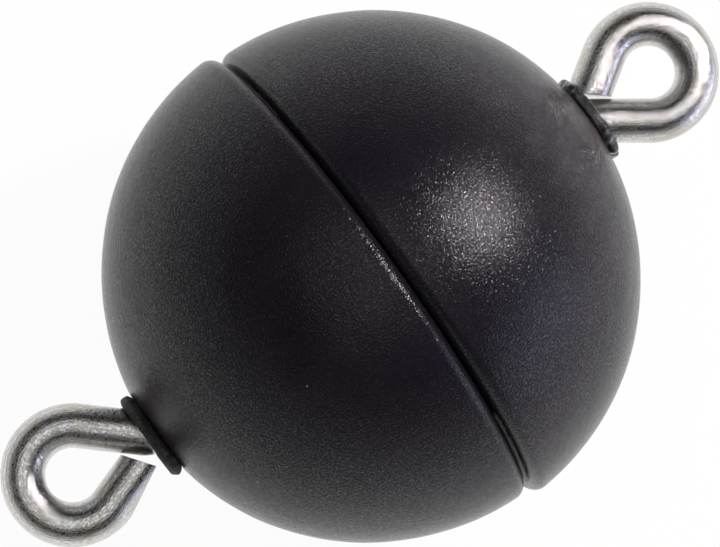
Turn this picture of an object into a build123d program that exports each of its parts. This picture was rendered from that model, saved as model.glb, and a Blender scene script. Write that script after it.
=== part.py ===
"""A magnetic ball clasp: two moulded rubber half balls that snap together, each with a swivelling wire eye.

Millimetres, +Z up. The origin is the centre of the ball, on the plane where its halves part.
+X runs along the pole axis towards half b, and both wire eyes lie flat in the XY plane.
Every piece is made with its outward end towards +X, then half a's pieces are turned about Z.
"""

import os
from math import asin, atan2, cos, degrees, hypot, radians, sin, sqrt, tan

from build123d import *

# Ball halves
ball_diameter = 12.0
parting_gap = 0.04  # the rubber lips stop this far apart, so that the steel faces meet first
lip_radius = 0.3
shell_wall = 0.6  # least rubber left over the corner of the steel pot
pole_flat_diameter = 2.1  # flat on each pole, for the washer to turn on

# Magnet and its steel pot
magnet_thickness = 2.0
magnet_recess = 0.05  # how far the magnet stands back from the pot's face
spacer_wall = 0.5  # ring that keeps the magnet clear of the pot's wall
pot_wall = 0.7
pot_floor = 1.35

# Headed wire pin with its turned eye
wire_diameter = 1.0
head_diameter = 1.8
head_thickness = 0.35
eye_hole_diameter = 1.2
kink_rise = 0.09  # height of the kink above the pole flat
kink_radius = 0.7
eye_rise = {"a": 2.08, "b": 1.93}  # height of the eye's centre above the pole flat
eye_drift = {"a": -0.33, "b": 0.04}  # how far the hand-turned eye leans off the axis
free_heading = {"a": 198.0, "b": 213.0}  # direction of the free end, in degrees from the pole axis
free_length = 2.0  # straight wire past the eye's bend, before it is pinched off
pinch_gap = {"a": 0.03, "b": 0.03}  # between the shank and the free end
pinch_opening = {"a": 11.6, "b": 3.5}  # angle of the near facet to the shank
pinch_length = {"a": 0.83, "b": 0.80}  # length of the near facet
pinch_wedge = {"a": 82.0, "b": 112.0}  # angle between the two facets

# Where the pin turns
running_fit = 0.05  # radial clearance round the wire
thrust_diameter = 2.2
thrust_thickness = 0.15
head_room = 0.3  # between the pin's head and the back of the magnet
counterbore_fit = 0.1  # radial clearance round the thrust washer
sleeve_wall = 0.2
sleeve_setback = 0.35  # the sleeve stops this far inside the pole flat, clear of the kink

# Washer on the pole
washer_diameter = 2.1
washer_thickness = 0.3

# Worked out from the sizes above
ball_radius = ball_diameter / 2
wire_radius = wire_diameter / 2
pole_seat = sqrt(ball_radius**2 - (pole_flat_diameter / 2) ** 2)
magnet_back = magnet_recess + magnet_thickness
pot_depth = magnet_back + pot_floor
pot_radius = sqrt((ball_radius - shell_wall) ** 2 - pot_depth**2)
pot_bore_radius = pot_radius - pot_wall
magnet_radius = pot_bore_radius - spacer_wall
head_front = magnet_back + head_room
thrust_front = head_front + head_thickness
thrust_back = thrust_front + thrust_thickness
running_radius = wire_radius + running_fit
sleeve_radius = running_radius + sleeve_wall
sleeve_end = pole_seat - sleeve_setback
eye_radius = (eye_hole_diameter + wire_diameter) / 2  # to the middle of the wire
kink_reach = pole_seat + kink_rise
half_turn = {"a": 180.0, "b": 0.0}


def disc(start, end, radius, mode=Mode.ADD):
    """A round solid on the pole axis, from one reach to another, added or cut away."""
    with BuildSketch(Plane.YZ.offset(start)) as outline:
        Circle(radius)
    extrude(outline.sketch, amount=end - start, mode=mode)


def heading(angle):
    """The unit vector at an angle from the pole axis, in the plane of the eye."""
    return Vector(cos(radians(angle)), sin(radians(angle)))


def shank_angle(half):
    """How far the wire kinks aside to run into its eye at a tangent."""
    reach = pole_seat + eye_rise[half] - kink_reach
    drift = eye_drift[half]
    return degrees(asin(eye_radius / hypot(reach, drift)) - atan2(drift, reach))


def draw_shank(half):
    """The wire's line from its head to the start of the eye, for use inside a BuildLine block."""
    angle = shank_angle(half)
    bend_start = kink_reach - kink_radius * tan(radians(angle / 2))
    shank = Line((head_front, 0), (bend_start, 0))
    kink = JernArc(shank @ 1, shank % 1, kink_radius, -angle)
    eye_start = eye_centre(half) + eye_radius * heading(-angle - 90)
    return Line(kink @ 1, eye_start)


def eye_centre(half):
    """The middle of the eye's hole."""
    return Vector(pole_seat + eye_rise[half], eye_drift[half])


def half_shell():
    """Half a rubber ball: rounded lip, pole flat, and a pocket for the pot with a bore above it."""
    with BuildPart() as shell:
        with BuildSketch() as profile:
            Circle(ball_radius)
            with Locations((parting_gap / 2, 0)):
                Rectangle(
                    pole_seat - parting_gap / 2,
                    ball_radius,
                    align=(Align.MIN, Align.MIN),
                    mode=Mode.INTERSECT,
                )
            fillet(profile.vertices().group_by(Axis.X)[0].sort_by(Axis.Y)[-1], lip_radius)
        revolve(axis=Axis.X)
        disc(0, pot_depth, pot_radius, Mode.SUBTRACT)
        disc(pot_depth, ball_radius, sleeve_radius, Mode.SUBTRACT)
    return shell.part


def steel_pot():
    """The cup that closes the magnet's field, with a counterbore in its floor for the pin's head."""
    with BuildPart() as pot:
        disc(0, pot_depth, pot_radius)
        disc(0, magnet_back, pot_bore_radius, Mode.SUBTRACT)
        disc(magnet_back, thrust_back, thrust_diameter / 2 + counterbore_fit, Mode.SUBTRACT)
        disc(thrust_back, pot_depth, running_radius, Mode.SUBTRACT)
    return pot.part


def disc_magnet():
    """The round magnet, just below the pot's face."""
    with BuildPart() as magnet:
        disc(magnet_recess, magnet_back, magnet_radius)
    return magnet.part


def spacer_ring():
    """The ring that centres the magnet in its pot."""
    with BuildPart() as ring:
        disc(magnet_recess, magnet_back, pot_bore_radius)
        disc(magnet_recess, magnet_back, magnet_radius, Mode.SUBTRACT)
    return ring.part


def thrust_washer():
    """The washer under the pin's head, which the head turns on when the eye is pulled."""
    with BuildPart() as washer:
        disc(thrust_front, thrust_back, thrust_diameter / 2)
        disc(thrust_front, thrust_back, running_radius, Mode.SUBTRACT)
    return washer.part


def bore_sleeve():
    """The tube that lines the bore through the rubber."""
    with BuildPart() as sleeve:
        disc(pot_depth, sleeve_end, sleeve_radius)
        disc(pot_depth, sleeve_end, running_radius, Mode.SUBTRACT)
    return sleeve.part


def pole_washer(half):
    """The round-edged washer on the pole, whose hole follows the kinked wire that it turns with."""
    with BuildPart() as washer:
        disc(pole_seat, pole_seat + washer_thickness, washer_diameter / 2)
        fillet(washer.edges(), washer_thickness / 2 * 0.98)
        with BuildLine() as route:
            draw_shank(half)
        wire = route.wire()
        with BuildSketch(Plane(wire @ 0, z_dir=wire % 0)):
            Circle(running_radius)
        sweep(path=wire, mode=Mode.SUBTRACT)
    return washer.part


def cut_free_end(half, strand_start):
    """Pinches the free end off with two flat facets, the near one facing the shank."""
    shank_side = heading(90 - shank_angle(half))
    strand = heading(free_heading[half])
    inner_edge = strand_start + wire_radius * heading(free_heading[half] + 90)
    from_shank = (inner_edge - Vector(kink_reach, 0)).dot(shank_side)
    run = (wire_radius + pinch_gap[half] - from_shank) / strand.dot(shank_side)
    corner = inner_edge + run * strand
    near_facet = 180 - shank_angle(half) - pinch_opening[half]
    tip = corner + pinch_length[half] * heading(near_facet)
    far_facet = near_facet - 180 + pinch_wedge[half]
    near_end = corner - free_length * heading(near_facet)
    far_end = tip + free_length * heading(far_facet)
    to_ball = Vector(-2 * free_length, 0)
    with BuildSketch() as waste:
        with BuildLine():
            Polyline(near_end, tip, far_end, far_end + to_ball, near_end + to_ball, close=True)
        make_face()
    extrude(waste.sketch, amount=wire_diameter, both=True, mode=Mode.SUBTRACT)


def eye_pin(half):
    """The headed wire that runs out through the pole and is turned into an eye."""
    angle = shank_angle(half)
    eye_turn = free_heading[half] + angle
    strand_start = eye_centre(half) + eye_radius * heading(free_heading[half] - 90)
    strand = heading(free_heading[half])
    with BuildPart() as pin:
        with BuildSketch(Plane(strand_start, z_dir=strand)):
            Circle(wire_radius)
        extrude(amount=free_length)
        cut_free_end(half, strand_start)
        with BuildLine() as route:
            rise = draw_shank(half)
            JernArc(rise @ 1, rise % 1, eye_radius, eye_turn)
        wire = route.wire()
        with BuildSketch(Plane(wire @ 0, z_dir=wire % 0)):
            Circle(wire_radius)
        sweep(path=wire)
        disc(head_front, thrust_front, head_diameter / 2)
    return pin.part


def write(piece, name, half):
    """Turns a piece to its own side of the ball and writes it."""
    placed = piece.rotate(Axis.Z, half_turn[half])
    placed.label = f"{name}_{half}"
    export_step(placed, f"parts/{placed.label}.step")


os.makedirs("parts", exist_ok=True)
for half in half_turn:
    write(half_shell(), "half_shell", half)
    write(steel_pot(), "steel_pot", half)
    write(disc_magnet(), "disc_magnet", half)
    write(spacer_ring(), "spacer_ring", half)
    write(thrust_washer(), "thrust_washer", half)
    write(bore_sleeve(), "bore_sleeve", half)
    write(pole_washer(half), "pole_washer", half)
    write(eye_pin(half), "eye_pin", half)
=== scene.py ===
"""Looks of a magnetic ball clasp: two moulded rubber half balls, each with a bent wire eye at its pole."""

from math import asin, atan2, cos, hypot, pi, radians, sin, sqrt, tan

import bmesh
import bpy
from mathutils import Matrix, Vector, noise


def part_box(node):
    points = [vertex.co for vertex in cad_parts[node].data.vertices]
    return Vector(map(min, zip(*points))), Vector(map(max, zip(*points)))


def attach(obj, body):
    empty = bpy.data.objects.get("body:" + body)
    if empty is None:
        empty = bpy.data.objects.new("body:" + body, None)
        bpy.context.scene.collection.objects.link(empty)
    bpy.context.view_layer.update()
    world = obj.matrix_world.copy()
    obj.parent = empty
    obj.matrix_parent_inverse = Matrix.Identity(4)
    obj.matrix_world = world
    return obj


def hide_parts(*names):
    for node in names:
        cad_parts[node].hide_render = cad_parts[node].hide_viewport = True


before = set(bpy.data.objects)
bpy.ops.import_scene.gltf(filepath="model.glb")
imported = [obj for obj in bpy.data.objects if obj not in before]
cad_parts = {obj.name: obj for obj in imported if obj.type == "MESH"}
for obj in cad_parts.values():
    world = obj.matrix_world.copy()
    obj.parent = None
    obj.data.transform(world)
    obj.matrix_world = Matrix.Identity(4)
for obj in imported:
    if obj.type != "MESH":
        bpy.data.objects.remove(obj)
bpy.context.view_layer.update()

mm = 0.001

# Sizes read from the frame. Each piece is made with its outward end towards +X,
# and half a's is then turned about Z.
half_turn = {"a": pi, "b": 0.0}


def reach_and_radius(piece):
    """Where a turned piece of half b starts and ends along the pole axis, and its outer radius."""
    low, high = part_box(piece + "_b")
    return low[0], high[0], (high[2] - low[2]) / 2


shell_face, pole_seat, _ = reach_and_radius("half_shell")
pot_face, pot_back, pot_radius = reach_and_radius("steel_pot")
magnet_face, magnet_back, magnet_radius = reach_and_radius("disc_magnet")
spacer_radius = reach_and_radius("spacer_ring")[2]
thrust_front, thrust_back, thrust_radius = reach_and_radius("thrust_washer")
sleeve_start, sleeve_end, sleeve_radius = reach_and_radius("bore_sleeve")
washer_foot, washer_top, washer_radius = reach_and_radius("pole_washer")
pin_start, _, head_radius = reach_and_radius("eye_pin")

# Sizes that a box can't tell
wire_radius = 0.5 * mm
head_thickness = 0.35 * mm
running_radius = wire_radius + 0.05 * mm
counterbore_radius = thrust_radius + 0.1 * mm
lip_radius = 0.3 * mm
pole_flat_radius = 1.05 * mm
kink_rise = 0.09 * mm
kink_radius = 0.7 * mm
free_heading = {"a": radians(198), "b": radians(213)}
free_length = 2.0 * mm
pinch_gap = {"a": 0.03 * mm, "b": 0.03 * mm}
pinch_opening = {"a": radians(11.6), "b": radians(3.5)}
pinch_length = {"a": 0.83 * mm, "b": 0.80 * mm}
pinch_wedge = {"a": radians(82), "b": radians(112)}

ball_radius = hypot(pole_seat, pole_flat_radius)
kink_reach = pole_seat + kink_rise


# ---------------------------------------------------------------- shapes


def finish_mesh(bm, name, body, replaced, material):
    """Turns the piece to its own side, makes it an object and puts it on its body in the node's place."""
    half = body[-1]
    bmesh.ops.rotate(bm, verts=bm.verts, matrix=Matrix.Rotation(half_turn[half], 3, "Z"))
    mesh = bpy.data.meshes.new(name)
    bm.to_mesh(mesh)
    bm.free()
    mesh.shade_smooth()
    piece = bpy.data.objects.new(name, mesh)
    bpy.context.collection.objects.link(piece)
    piece.data.materials.append(material)
    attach(piece, body)
    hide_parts(replaced)
    return piece


def turn_outline(bm, steps):
    """Turns the outline in the XY plane about the pole axis and closes its seam and poles."""
    geometry = bm.verts[:] + bm.edges[:]
    bmesh.ops.spin(
        bm, geom=geometry, cent=(0, 0, 0), axis=(1, 0, 0), angle=2 * pi, steps=steps, use_merge=True
    )
    bmesh.ops.remove_doubles(bm, verts=bm.verts, dist=0.0005 * mm)
    bmesh.ops.recalc_face_normals(bm, faces=bm.faces)


def turned(outline, edge_round, steps=160):
    """A lathe piece: a closed outline of (reach, radius) corners, turned, with its edges rounded."""
    bm = bmesh.new()
    corners = [bm.verts.new((reach, radius, 0)) for reach, radius in outline]
    for start, end in zip(corners, corners[1:] + corners[:1]):
        bm.edges.new((start, end))
    turn_outline(bm, steps)
    sharp = [e for e in bm.edges if e.is_manifold and e.calc_face_angle() > radians(40)]
    bmesh.ops.bevel(
        bm,
        geom=sharp,
        offset=edge_round,
        offset_type="OFFSET",
        segments=3,
        profile=0.5,
        affect="EDGES",
        material=-1,
        clamp_overlap=True,
    )
    return bm


def ring(start, end, inner, outer):
    """The four corners of a ring's section."""
    return [(start, inner), (end, inner), (end, outer), (start, outer)]


def draw_arc(bm, start, centre, angle, steps):
    """Carries one vertex round a centre in the XY plane and returns the arc's last vertex."""
    drawn = bmesh.ops.spin(
        bm, geom=[start], cent=centre, axis=(0, 0, 1), angle=angle, steps=steps, use_merge=False
    )
    return [v for v in drawn["geom_last"] if isinstance(v, bmesh.types.BMVert)][0]


def draw_line(bm, start, end, steps):
    """Draws straight edges from a vertex to a point or another vertex, and returns the last vertex."""
    goal = end.co.copy() if isinstance(end, bmesh.types.BMVert) else Vector(end)
    origin = start.co.copy()
    for step in range(1, steps + 1):
        last = step == steps and isinstance(end, bmesh.types.BMVert)
        vertex = end if last else bm.verts.new(origin.lerp(goal, step / steps))
        bm.edges.new((start, vertex))
        start = vertex
    return start


def rubber_half(half):
    """Half a ball from the mould: rounded lip, pole flat, pot pocket, and a skin not quite true."""
    lip_reach = shell_face + lip_radius
    lip_height = sqrt((ball_radius - lip_radius) ** 2 - lip_reach**2)
    lip_angle = atan2(lip_height, lip_reach)
    pole_angle = atan2(pole_flat_radius, pole_seat)
    bm = bmesh.new()
    pole_edge = bm.verts.new((pole_seat, pole_flat_radius, 0))
    lip_start = draw_arc(bm, pole_edge, (0, 0, 0), lip_angle - pole_angle, 90)
    lip_end = draw_arc(bm, lip_start, (lip_reach, lip_height, 0), pi - lip_angle, 14)
    face_end = draw_line(bm, lip_end, (shell_face, pot_radius, 0), 8)
    pocket_end = draw_line(bm, face_end, (pot_back, pot_radius, 0), 4)
    bore_start = draw_line(bm, pocket_end, (pot_back, sleeve_radius, 0), 6)
    bore_end = draw_line(bm, bore_start, (pole_seat, sleeve_radius, 0), 4)
    draw_line(bm, bore_end, pole_edge, 2)
    turn_outline(bm, 288)
    for vertex in bm.verts:
        outside = vertex.co.length > ball_radius - skin_depth
        if outside and vertex.co.x < pole_seat - skin_margin:
            place = vertex.co / mm + Vector((0, 0, 30 * half_turn[half]))
            wave = noise.noise(place * waves_per_mm) * skin_wave
            dent = noise.noise(place * dents_per_mm) * skin_dent
            vertex.co += vertex.co.normalized() * (wave + dent)
        from_axis = hypot(vertex.co.y, vertex.co.z)
        ramp = min(1, max(0, (from_axis - pole_flat_radius) / (ball_radius - pole_flat_radius)))
        vertex.co.y -= skin_shift * ramp * ramp * (3 - 2 * ramp)
    return bm


skin_shift = 0.08 * mm  # each half's skin sits this far off the axis, to opposite sides
skin_depth = 1.5 * lip_radius  # how deep under the ball's surface the lip still counts as skin
skin_margin = 0.05 * mm  # keeps the pole's flat true
skin_wave = 0.012 * mm
waves_per_mm = 0.45
skin_dent = 0.004 * mm
dents_per_mm = 1.6


# The eye is bent from straight wire. A point of the straight wire is (run, side, height).
def eye_centre(half):
    """The middle of the eye's hole, with the piece's outward end towards +X."""
    low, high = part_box("eye_pin_" + half)
    outer = max(abs(low[0]), abs(high[0]))
    side = (low[1] + high[1]) / 2 * cos(half_turn[half])
    return Vector((outer - eye_outer_radius, side, 0))


low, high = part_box("eye_pin_b")
eye_outer_radius = (high[1] - low[1]) / 2
eye_radius = eye_outer_radius - wire_radius


def shank_angle(half):
    """How far the wire kinks aside to run into its eye at a tangent."""
    to_centre = eye_centre(half) - Vector((kink_reach, 0, 0))
    return asin(eye_radius / hypot(to_centre.x, to_centre.y)) - atan2(to_centre.y, to_centre.x)


def direction(angle):
    """The unit vector at an angle from the pole axis, in the plane of the eye."""
    return Vector((cos(angle), sin(angle), 0))


class Bends:
    """The line of the bent wire: shank, kink, rise, eye and free end, each with its length."""

    def __init__(self, half):
        angle = shank_angle(half)
        self.kink_turn = angle
        self.kink_start = Vector((kink_reach - kink_radius * tan(angle / 2), 0, 0))
        self.kink_centre = self.kink_start + Vector((0, -kink_radius, 0))
        self.kink_end = self.kink_centre + kink_radius * direction(pi / 2 - angle)
        self.centre = eye_centre(half)
        self.eye_start = self.centre + eye_radius * direction(-angle - pi / 2)
        self.eye_turn = free_heading[half] + angle
        self.strand = direction(free_heading[half])
        self.strand_start = self.centre + eye_radius * direction(free_heading[half] - pi / 2)
        lengths = [
            self.kink_start.x - pin_start,
            kink_radius * angle,
            (self.eye_start - self.kink_end).length,
            eye_radius * self.eye_turn,
            free_length,
        ]
        self.ends = [sum(lengths[: i + 1]) for i in range(len(lengths))]

    def place(self, run, side):
        """Where a point goes that lies a run along the straight wire and to one side of its middle."""
        shank, kink, rise, eye, _ = self.ends
        if run <= shank:
            return Vector((pin_start + run, side, 0))
        if run <= kink:
            turn = (run - shank) / kink_radius
            return self.kink_centre + (kink_radius + side) * direction(pi / 2 - turn)
        if run <= rise:
            aside = direction(pi / 2 - self.kink_turn)
            return self.kink_end + (run - kink) * direction(-self.kink_turn) + side * aside
        if run <= eye:
            turn = (run - rise) / eye_radius
            return self.centre + (eye_radius - side) * direction(turn - self.kink_turn - pi / 2)
        aside = Vector((-self.strand.y, self.strand.x, 0))
        return self.strand_start + (run - eye) * self.strand + side * aside


def pinched_end(bm, half, bends):
    """Cuts the free end with the two facets that side cutters leave, which meet in a ridge."""
    shank_side = direction(pi / 2 - bends.kink_turn)
    inner_edge = bends.strand_start + wire_radius * direction(free_heading[half] + pi / 2)
    from_shank = (inner_edge - Vector((kink_reach, 0, 0))).dot(shank_side)
    run = (wire_radius + pinch_gap[half] - from_shank) / bends.strand.dot(shank_side)
    corner = inner_edge + run * bends.strand
    near = pi - bends.kink_turn - pinch_opening[half]
    tip = corner + pinch_length[half] * direction(near)
    far = near - pi + pinch_wedge[half]
    for point, facet in ((corner, near), (tip, far)):
        strand = [v for v in bm.verts if v[bends.layer].z > bends.ends[3] / mm]
        members = set(strand)
        edges = [e for e in bm.edges if e.verts[0] in members and e.verts[1] in members]
        faces = [f for f in bm.faces if all(v in members for v in f.verts)]
        cut = bmesh.ops.bisect_plane(
            bm,
            geom=strand + edges + faces,
            plane_co=point,
            plane_no=direction(facet + pi / 2),
            clear_outer=True,
        )
        rim = [e for e in cut["geom_cut"] if isinstance(e, bmesh.types.BMEdge)]
        bmesh.ops.contextual_create(bm, geom=rim)


def bent_wire(half):
    """The headed pin: straight wire with a head, bent round into its eye and pinched off."""
    bends = Bends(half)
    bm = bmesh.new()
    bends.layer = bm.verts.layers.float_vector.new("wire_lay")
    drawn = bmesh.ops.create_circle(bm, segments=wire_sides, radius=wire_radius, cap_ends=False)
    front = list({edge for vertex in drawn["verts"] for edge in vertex.link_edges})
    rings = round(bends.ends[-1] / ring_gap)
    for _ in range(rings):
        grown = bmesh.ops.extrude_edge_only(bm, edges=front)["geom"]
        new = [v for v in grown if isinstance(v, bmesh.types.BMVert)]
        front = [e for e in grown if isinstance(e, bmesh.types.BMEdge)]
        bmesh.ops.translate(bm, verts=new, vec=(0, 0, bends.ends[-1] / rings))
    for vertex in bm.verts:
        across, height, run = vertex.co
        vertex[bends.layer] = Vector((across, height, run)) / mm
        skin = Vector((across, height, run * waver_stretch)) / mm
        swell = 1 + wire_waver * noise.noise(skin * wavers_per_mm + Vector((half_turn[half] * 9, 0, 0)))
        vertex.co = bends.place(run, across * swell) + Vector((0, 0, height * swell))
    pinched_end(bm, half, bends)
    bmesh.ops.recalc_face_normals(bm, faces=bm.faces)
    sharp = [e for e in bm.edges if e.is_manifold and e.calc_face_angle() > radians(24)]
    bmesh.ops.bevel(
        bm,
        geom=sharp,
        offset=pinched_edge,
        offset_type="OFFSET",
        segments=3,
        profile=0.5,
        affect="EDGES",
        material=-1,
        clamp_overlap=True,
    )
    head_end = pin_start + head_thickness
    head_outline = [(pin_start, 0), (pin_start, head_radius), (head_end, head_radius), (head_end, 0)]
    head = turned(head_outline, head_edge)
    mesh = bpy.data.meshes.new("pin_head")
    head.to_mesh(mesh)
    head.free()
    bm.from_mesh(mesh)
    bpy.data.meshes.remove(mesh)
    return bm


wire_waver = 0.02  # the share by which the wire's thickness varies
wavers_per_mm = 1.3
waver_stretch = 0.35
wire_sides = 56
ring_gap = 0.045 * mm
pinched_edge = 0.025 * mm
head_edge = 0.06 * mm


def pressed_washer(half, roughness):
    """The washer on the pole: a full round rim, and a hole that leans with the kinked wire."""
    thickness = washer_top - washer_foot
    rim = thickness / 2
    bm = bmesh.new()
    foot = bm.verts.new((washer_foot, running_radius, 0))
    rim_start = draw_line(bm, foot, (washer_foot, washer_radius - rim, 0), 8)
    rim_end = draw_arc(bm, rim_start, (washer_foot + rim, washer_radius - rim, 0), -pi, 14)
    hole_top = draw_line(bm, rim_end, (washer_top, running_radius, 0), 8)
    draw_line(bm, hole_top, foot, 5)
    turn_outline(bm, 224)
    slope = tan(shank_angle(half))
    for vertex in bm.verts:
        across = hypot(vertex.co.y, vertex.co.z)
        inward = max(0, (washer_radius - rim - across) / (washer_radius - rim - running_radius))
        lean = max(0, vertex.co.x - kink_reach + lean_start) * slope * inward
        stretch = 1 + hole_stretch * inward * (vertex.co.x > kink_reach)
        vertex.co.y = vertex.co.y * stretch - lean
        outward = Vector((vertex.co.x - washer_foot - rim, vertex.co.y, vertex.co.z))
        place = vertex.co / mm
        turn = atan2(vertex.co.z, vertex.co.y)
        along_rim = Vector((turn, across / mm * wrinkle_squeeze, place.x * wrinkle_squeeze))
        wrinkle = noise.noise(along_rim * wrinkles_per_mm) * roughness["wrinkle"]
        lump = noise.noise(place * lumps_per_mm) * roughness["lump"]
        if vertex.co.x > washer_foot + foot_margin:
            vertex.co += outward.normalized() * (wrinkle + lump) * (1 - inward)
    bmesh.ops.recalc_face_normals(bm, faces=bm.faces)
    return bm


lean_start = 0.06 * mm  # how far below the kink the hole starts to lean
hole_stretch = 0.18  # the share by which the leaning hole is wider than the wire's
foot_margin = 0.02 * mm  # keeps the seat flat
wrinkle_squeeze = 9
wrinkles_per_mm = 1.2
lumps_per_mm = 5
washer_relief = {
    "a": {"wrinkle": 0.03 * mm, "lump": 0.02 * mm},
    "b": {"wrinkle": 0.03 * mm, "lump": 0.07 * mm},
}


# ---------------------------------------------------------------- materials


def colour(code):
    """An sRGB hex colour as the linear colour that a shader takes."""
    parts = [int(code[i : i + 2], 16) / 255 for i in (1, 3, 5)]
    return [c / 12.92 if c <= 0.04045 else ((c + 0.055) / 1.055) ** 2.4 for c in parts] + [1.0]


def add(material, kind, inputs=None, **settings):
    """Adds a node to a material or world, with its settings, and fills or links its inputs."""
    made = material.node_tree.nodes.new("ShaderNode" + kind)
    for name, value in settings.items():
        setattr(made, name, value)
    for key, value in (inputs or {}).items():
        if isinstance(value, bpy.types.NodeSocket):
            material.node_tree.links.new(value, made.inputs[key])
        else:
            made.inputs[key].default_value = value
    return made


def new_material(name):
    """An empty material with its output."""
    material = bpy.data.materials.new(name)
    material.use_nodes = True
    material.node_tree.nodes.clear()
    return material


def surface(material, shader, relief=None):
    """Ends a material in its output."""
    if relief:
        material.node_tree.links.new(relief.outputs["Normal"], shader.inputs["Normal"])
    add(material, "OutputMaterial", {"Surface": shader.outputs[0]})
    return material


def in_mm(material, scale=(1, 1, 1)):
    """Coordinates in millimetres, stretched by a scale."""
    source = add(material, "TexCoord").outputs["Object"]
    size = [s / mm for s in scale]
    return add(material, "Mapping", {"Vector": source, "Scale": size}).outputs["Vector"]


def levels(material, value, stops):
    """A colour ramp from (position, grey or hex colour) stops."""
    ramp = add(material, "ValToRGB", {"Fac": value})
    band = ramp.color_ramp
    while len(band.elements) < len(stops):
        band.elements.new(1.0)
    for element, (position, shade) in zip(band.elements, stops):
        element.position = position
        element.color = colour(shade) if isinstance(shade, str) else (shade, shade, shade, 1)
    return ramp.outputs["Color"]


def moulded_rubber(name, scuff):
    """Hard black rubber, moulded against a fine-blasted tool: a skin whose grain sparkles in the light,
    with grey bloom, a few pale flow marks near the pole, and specks of dust."""
    m = new_material(name)
    # The blasted grain is about 0.02 mm across. It is drawn twice as coarse, so that it shows.
    grain = add(m, "TexNoise", {"Vector": in_mm(m), "Scale": 23.0, "Detail": 2.0, "Roughness": 0.6})
    pores = add(m, "TexVoronoi", {"Vector": in_mm(m), "Scale": 22.0}, feature="F1")
    bloom = add(m, "TexNoise", {"Vector": in_mm(m), "Scale": 0.5, "Detail": 5.0, "Roughness": 0.6})
    streak = add(m, "TexNoise", {
        "Vector": in_mm(m, (0.5, 2.4, 1.6)),
        "Scale": 1.2,
        "Detail": 8.0,
        "Roughness": 0.7,
        "Distortion": 0.25,
    })
    bloomed = levels(m, bloom.outputs["Fac"], [(0.35, 0.0), (0.7, 1.0)])
    black = {"Factor": bloomed, "A": colour("#151219"), "B": colour("#1E1A20")}
    base = add(m, "Mix", black, data_type="RGBA")
    axial = add(m, "SeparateXYZ", {"Vector": in_mm(m)})
    near_pole = add(m, "MapRange", {
        "Value": axial.outputs["X"],
        "From Min": 3.2,
        "From Max": 5.6,
        "To Min": 0.0,
        "To Max": scuff,
    })
    flow = levels(m, streak.outputs["Fac"], [(0.52, 0.0), (0.72, 1.0)])
    marks = add(m, "Math", {0: flow, 1: near_pole.outputs["Result"]}, operation="MULTIPLY")
    pale = {"Factor": marks.outputs[0], "A": base.outputs["Result"], "B": colour("#6C6560")}
    scuffed = add(m, "Mix", pale, data_type="RGBA")
    speck = add(m, "TexVoronoi", {"Vector": in_mm(m), "Scale": 1.15, "Randomness": 1.0}, feature="F1")
    dust = levels(m, speck.outputs["Distance"], [(0.0, 1.0), (0.022, 0.9), (0.036, 0.0)])
    specks = {"Factor": dust, "A": scuffed.outputs["Result"], "B": colour("#8A8683")}
    dusty = add(m, "Mix", specks, data_type="RGBA")
    rough = add(m, "MapRange", {
        "Value": grain.outputs["Fac"],
        "From Min": 0.3,
        "From Max": 0.7,
        "To Min": 0.09,
        "To Max": 0.16,
    })
    fine = add(m, "Bump", {"Strength": 1.0, "Distance": 0.0115 * mm, "Height": grain.outputs["Fac"]})
    pitted = add(m, "Bump", {
        "Strength": 0.5,
        "Distance": 0.008 * mm,
        "Height": pores.outputs["Distance"],
        "Normal": fine.outputs["Normal"],
    })
    facing = add(m, "LayerWeight", {"Blend": 0.3})
    sheen = levels(m, facing.outputs["Facing"], [(0.3, 0.22), (0.75, 0.05)])
    glint = levels(m, grain.outputs["Fac"], [(0.40, 0.5), (0.60, 1.4), (0.66, 2.9)])
    sparkle = add(m, "Math", {0: sheen, 1: glint}, operation="MULTIPLY")
    shader = add(m, "BsdfPrincipled", {
        "Base Color": dusty.outputs["Result"],
        "Roughness": rough.outputs["Result"],
        "IOR": 1.52,
        "Specular IOR Level": sparkle.outputs[0],
        "Sheen Weight": 0.02,
        "Sheen Roughness": 0.4,
        "Sheen Tint": colour("#E8C8B0"),
    })
    return surface(m, shader, pitted)


# Colour stops of the fibre: its own near-black and dark brown tone, with painted shade that darkens the
# wrinkles' hollows.
dull_fibre_tone_and_crease_shade = [(0.35, "#0C0A0B"), (0.55, "#221D1C"), (0.7, "#4A403C")]
lacquered_fibre_tone_and_crease_shade = [(0.3, "#08070A"), (0.7, "#15131A")]


def stained_fibre(name, shades, wet):
    """Vulcanised fibre stained black: dull and finely wrinkled, or wet with a coat of lacquer; its colour
    holds painted shade in the wrinkles' hollows.
    """
    m = new_material(name)
    wrinkle = add(m, "TexNoise", {
        "Vector": in_mm(m),
        "Scale": 7.0,
        "Detail": 6.0,
        "Roughness": 0.65,
        "Distortion": 0.8,
    })
    # Painted shade: the colour follows the wrinkles' height, so the hollows of the relief come out darker
    # than the crests.
    base = levels(m, wrinkle.outputs["Fac"], shades)
    relief = add(m, "Bump", {"Strength": 1.0, "Distance": 0.09 * mm, "Height": wrinkle.outputs["Fac"]})
    shader = add(m, "BsdfPrincipled", {
        "Base Color": base,
        "Roughness": 0.22 if wet else 0.6,
        "IOR": 1.5,
        "Coat Weight": 0.7 if wet else 0.0,
        "Coat Roughness": 0.06,
    })
    return surface(m, shader, relief)


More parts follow.
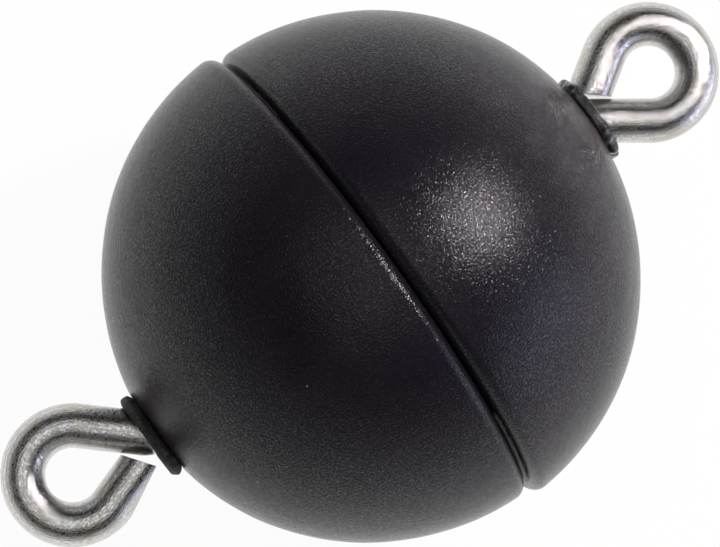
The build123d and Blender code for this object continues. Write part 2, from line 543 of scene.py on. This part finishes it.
def plated_wire():
    """Soft iron wire, drawn, then zinc plated: bright, with draw lines along it, small pits in the
    plating, and warm and greenish tarnish between them."""
    m = new_material("zinc_plated_wire")
    lay = add(m, "Attribute", attribute_name="wire_lay", attribute_type="GEOMETRY").outputs["Vector"]
    # The die leaves lines of about 0.01 mm. They are drawn some four times as coarse, so that they show.
    lined = add(m, "Mapping", {"Vector": lay, "Scale": (24.0, 24.0, 0.7)})
    lines = add(m, "TexNoise", {"Vector": lined.outputs["Vector"], "Scale": 1.0, "Detail": 3.0})
    pits = add(m, "TexNoise", {"Vector": lay, "Scale": 17.0, "Detail": 4.0, "Roughness": 0.75})
    patch = add(m, "TexNoise", {"Vector": lay, "Scale": 1.6, "Detail": 4.0})
    pitting = levels(m, pits.outputs["Fac"], [(0.36, 0.0), (0.56, 1.0)])
    tarnish = [(0.30, "#C2BCAE"), (0.42, "#D8D6D2"), (0.60, "#DCDDE2"), (0.72, "#C6C6B8")]
    tint = levels(m, patch.outputs["Fac"], tarnish)
    draw = levels(m, lines.outputs["Fac"], [(0.36, 0.0), (0.5, 1.0)])
    worn = add(m, "Mix", {"Factor": draw, "A": colour("#BDB9B3"), "B": tint}, data_type="RGBA")
    in_pits = {"Factor": pitting, "A": colour("#C0BBB5"), "B": worn.outputs["Result"]}
    speckled = add(m, "Mix", in_pits, data_type="RGBA")
    rough = add(m, "MapRange", {
        "Value": pits.outputs["Fac"],
        "From Min": 0.3,
        "From Max": 0.7,
        "To Min": 0.10,
        "To Max": 0.04,
    })
    drawn = add(m, "Bump", {"Strength": 1.0, "Distance": 0.0014 * mm, "Height": lines.outputs["Fac"]})
    pitted = add(m, "Bump", {
        "Strength": 1.0,
        "Distance": 0.0026 * mm,
        "Height": pitting,
        "Normal": drawn.outputs["Normal"],
    })
    shader = add(m, "BsdfPrincipled", {
        "Base Color": speckled.outputs["Result"],
        "Metallic": 1.0,
        "Roughness": rough.outputs["Result"],
    })
    return surface(m, shader, pitted)


def turned_metal(name, low, high, roughness):
    """Metal off the lathe: fine rings round the pole axis, from the tool's feed, in two close shades."""
    m = new_material(name)
    axial = add(m, "SeparateXYZ", {"Vector": in_mm(m)})
    square = add(m, "Math", {0: axial.outputs["Y"], 1: axial.outputs["Y"]}, operation="MULTIPLY")
    both = {0: axial.outputs["Z"], 1: axial.outputs["Z"], 2: square.outputs[0]}
    squares = add(m, "Math", both, operation="MULTIPLY_ADD")
    radius = add(m, "Math", {0: squares.outputs[0]}, operation="SQRT")
    rings = add(m, "CombineXYZ", {"X": radius.outputs[0], "Y": axial.outputs["X"]})
    feed = add(m, "TexNoise", {"Vector": rings.outputs[0], "Scale": 22.0, "Detail": 4.0})
    stain = add(m, "TexNoise", {"Vector": in_mm(m), "Scale": 1.1, "Detail": 4.0})
    base = levels(m, stain.outputs["Fac"], [(0.35, low), (0.65, high)])
    relief = add(m, "Bump", {"Strength": 0.4, "Distance": 0.008 * mm, "Height": feed.outputs["Fac"]})
    shader = add(m, "BsdfPrincipled", {"Base Color": base, "Metallic": 1.0, "Roughness": roughness})
    return surface(m, shader, relief)


def cast_resin():
    """Filled epoxy round the magnet: black, slightly grainy and dull."""
    m = new_material("cast_resin")
    grit = add(m, "TexNoise", {"Vector": in_mm(m), "Scale": 9.0, "Detail": 4.0})
    base = levels(m, grit.outputs["Fac"], [(0.35, "#1D1C1B"), (0.7, "#2E2C2A")])
    relief = add(m, "Bump", {"Strength": 0.5, "Distance": 0.01 * mm, "Height": grit.outputs["Fac"]})
    shader = add(m, "BsdfPrincipled", {"Base Color": base, "Roughness": 0.55, "IOR": 1.55})
    return surface(m, shader, relief)


# ---------------------------------------------------------------- pieces

rubber = {"a": moulded_rubber("moulded_rubber_a", 0.0), "b": moulded_rubber("moulded_rubber_b", 0.35)}
collar = {
    "a": stained_fibre("dull_fibre", dull_fibre_tone_and_crease_shade, False),
    "b": stained_fibre("lacquered_fibre", lacquered_fibre_tone_and_crease_shade, True),
}
wire = plated_wire()
pot_steel = turned_metal("turned_mild_steel", "#8F8F92", "#A9A9AB", 0.34)
nickel = turned_metal("nickel_plate", "#C4C0B8", "#D2CEC6", 0.16)
brass = turned_metal("turned_brass", "#A98443", "#C09C56", 0.3)
resin = cast_resin()
edge_break = {
    "pot": 0.08 * mm,
    "magnet": 0.12 * mm,
    "spacer": 0.03 * mm,
    "thrust": 0.03 * mm,
    "sleeve": 0.04 * mm,
}

for half in half_turn:
    body, eye_body = "half_" + half, "eye_" + half
    shell = finish_mesh(rubber_half(half), "rubber_half_" + half, body, "half_shell_" + half, rubber[half])
    pot = turned(
        [
            (pot_face, pot_radius),
            (pot_face, spacer_radius),
            (magnet_back, spacer_radius),
            (magnet_back, counterbore_radius),
            (thrust_back, counterbore_radius),
            (thrust_back, running_radius),
            (pot_back, running_radius),
            (pot_back, pot_radius),
        ],
        edge_break["pot"],
    )
    pot = finish_mesh(pot, "turned_pot_" + half, body, "steel_pot_" + half, pot_steel)
    magnet = turned(
        [(magnet_face, 0), (magnet_face, magnet_radius), (magnet_back, magnet_radius), (magnet_back, 0)],
        edge_break["magnet"],
    )
    magnet = finish_mesh(magnet, "nickel_magnet_" + half, body, "disc_magnet_" + half, nickel)
    spacer = turned(ring(magnet_face, magnet_back, magnet_radius, spacer_radius), edge_break["spacer"])
    spacer = finish_mesh(spacer, "resin_ring_" + half, body, "spacer_ring_" + half, resin)
    thrust = turned(ring(thrust_front, thrust_back, running_radius, thrust_radius), edge_break["thrust"])
    thrust = finish_mesh(thrust, "brass_thrust_" + half, body, "thrust_washer_" + half, brass)
    sleeve = turned(ring(sleeve_start, sleeve_end, running_radius, sleeve_radius), edge_break["sleeve"])
    sleeve = finish_mesh(sleeve, "brass_sleeve_" + half, body, "bore_sleeve_" + half, brass)
    washer = pressed_washer(half, washer_relief[half])
    washer = finish_mesh(washer, "pressed_washer_" + half, eye_body, "pole_washer_" + half, collar[half])
    eye = finish_mesh(bent_wire(half), "bent_wire_" + half, eye_body, "eye_pin_" + half, wire)


# ---------------------------------------------------------------- floor, light and camera

tilt = radians(5.5)
roll = radians(36)
towards = Vector((-sin(tilt), 0, cos(tilt)))
along = Vector((cos(tilt), 0, sin(tilt)))
across = Vector((0, 1, 0))
right = cos(roll) * along - sin(roll) * across
up = sin(roll) * along + cos(roll) * across


def seen_from(sideways, upwards, nearer):
    """A direction given as it is seen from the camera."""
    return (sideways * right + upwards * up + nearer * towards).normalized()


plain_white_share = 0.95  # the rest of the floor's light is lit card, which holds the shadow


def white_floor():
    """Matt white card that the eye sees as plain white, with part of the shadow left."""
    m = new_material("white_card")
    fibre = add(m, "TexNoise", {"Vector": in_mm(m), "Scale": 2.0, "Detail": 4.0})
    shade = levels(m, fibre.outputs["Fac"], [(0.3, "#F4F4F4"), (0.7, "#F7F7F7")])
    card = add(m, "BsdfDiffuse", {"Color": shade})
    glow = add(m, "Emission", {"Color": (1, 1, 1, 1), "Strength": 1.0})
    path = add(m, "LightPath")
    direct = {0: path.outputs["Is Camera Ray"], 1: path.outputs["Is Glossy Ray"]}
    sharp = add(m, "Math", direct, operation="MAXIMUM")
    through = {0: sharp.outputs[0], 1: path.outputs["Is Transmission Ray"]}
    clear = add(m, "Math", through, operation="MAXIMUM")
    kept = add(m, "Math", {0: clear.outputs[0], 1: plain_white_share}, operation="MULTIPLY")
    mixed = add(m, "MixShader", {0: kept.outputs[0], 1: card.outputs[0], 2: glow.outputs[0]})
    return surface(m, mixed)


def lay_floor():
    """A round card that the ball lies on."""
    floor_radius = 150 * mm
    floor_drop = 0.02 * mm  # clears the waves in the skin
    bm = bmesh.new()
    bmesh.ops.create_circle(bm, cap_ends=True, segments=96, radius=floor_radius)
    bmesh.ops.translate(bm, verts=bm.verts, vec=(0, 0, -ball_radius - floor_drop))
    mesh = bpy.data.meshes.new("floor")
    bm.to_mesh(mesh)
    bm.free()
    floor = bpy.data.objects.new("floor", mesh)
    bpy.context.collection.objects.link(floor)
    floor.data.materials.append(white_floor())


def softbox(name, place, distance, size, watts, shade):
    """A square lamp that faces the ball."""
    lamp = bpy.data.lights.new(name, "AREA")
    lamp.size = size
    lamp.energy = watts
    lamp.color = colour(shade)[:3]
    stand = bpy.data.objects.new(name, lamp)
    bpy.context.collection.objects.link(stand)
    stand.location = place * distance
    stand.rotation_euler = place.to_track_quat("Z", "Y").to_euler()


def studio_world():
    """White surroundings. What is glossy also sees a dark ring high up, round a bright patch overhead."""
    world = bpy.data.worlds.new("studio")
    bpy.context.scene.world = world
    world.use_nodes = True
    world.node_tree.nodes.clear()
    facing = add(world, "TexCoord").outputs["Generated"]
    height = add(world, "SeparateXYZ", {"Vector": facing}).outputs["Z"]
    rise = add(world, "MapRange", {"Value": height, "From Min": -1.0, "From Max": 1.0})
    walls = [(0.0, 0.48), (0.35, 0.62), (0.63, 0.5)]
    dark_ring = [(0.74, 0.01), (0.93, 0.0)]
    ceiling = [(0.955, 0.8), (1.0, 0.9)]
    overhead = levels(world, rise.outputs[0], walls + dark_ring + ceiling)
    path = add(world, "LightPath")
    direct = {0: path.outputs["Is Camera Ray"], 1: path.outputs["Is Transmission Ray"]}
    seen = add(world, "Math", direct, operation="MAXIMUM")
    plain = add(world, "Math", {0: path.outputs["Is Glossy Ray"], 1: overhead}, operation="MULTIPLY")
    other = add(world, "Math", {0: seen.outputs[0], 1: plain.outputs[0]}, operation="MAXIMUM")
    soft_light = 0.5
    dull = add(world, "Math", {0: path.outputs["Is Diffuse Ray"], 1: soft_light}, operation="MULTIPLY")
    strength = add(world, "Math", {0: other.outputs[0], 1: dull.outputs[0]}, operation="MAXIMUM")
    glow = add(world, "Background", {"Color": (1, 1, 1, 1), "Strength": strength.outputs[0]})
    add(world, "OutputWorld", {"Surface": glow.outputs[0]})


def set_camera():
    """A long lens above the ball, a little off to one pole, with the clasp across the frame."""
    distance = 75 * mm
    ball_in_frame = 0.7467  # the ball's width as a share of the frame's
    lens_data = bpy.data.cameras.new("camera")
    lens_data.sensor_width = 36.0
    edge = ball_radius / sqrt(distance**2 - ball_radius**2)
    lens_data.lens = lens_data.sensor_width * ball_in_frame / (2 * edge)
    lens_data.clip_start = 1 * mm
    lens_data.clip_end = 1000 * mm
    camera = bpy.data.objects.new("camera", lens_data)
    bpy.context.collection.objects.link(camera)
    aim = -0.246 * mm * right + 0.063 * mm * up  # between the eyes, which don't reach equally far
    turn = Matrix((right, up, towards)).transposed().to_4x4()
    camera.matrix_world = Matrix.Translation(aim + towards * distance) @ turn
    bpy.context.scene.camera = camera


lamp_distance = 120 * mm
lay_floor()
studio_world()
softbox("key", seen_from(0.69, 0.40, 0.60), lamp_distance, 12 * mm, 0.115, "#FFF8FC")
softbox("fill", seen_from(0.92, -0.25, 0.08), lamp_distance, 90 * mm, 0.04, "#DCE0FF")
set_camera()
bpy.context.scene.view_settings.view_transform = "Standard"
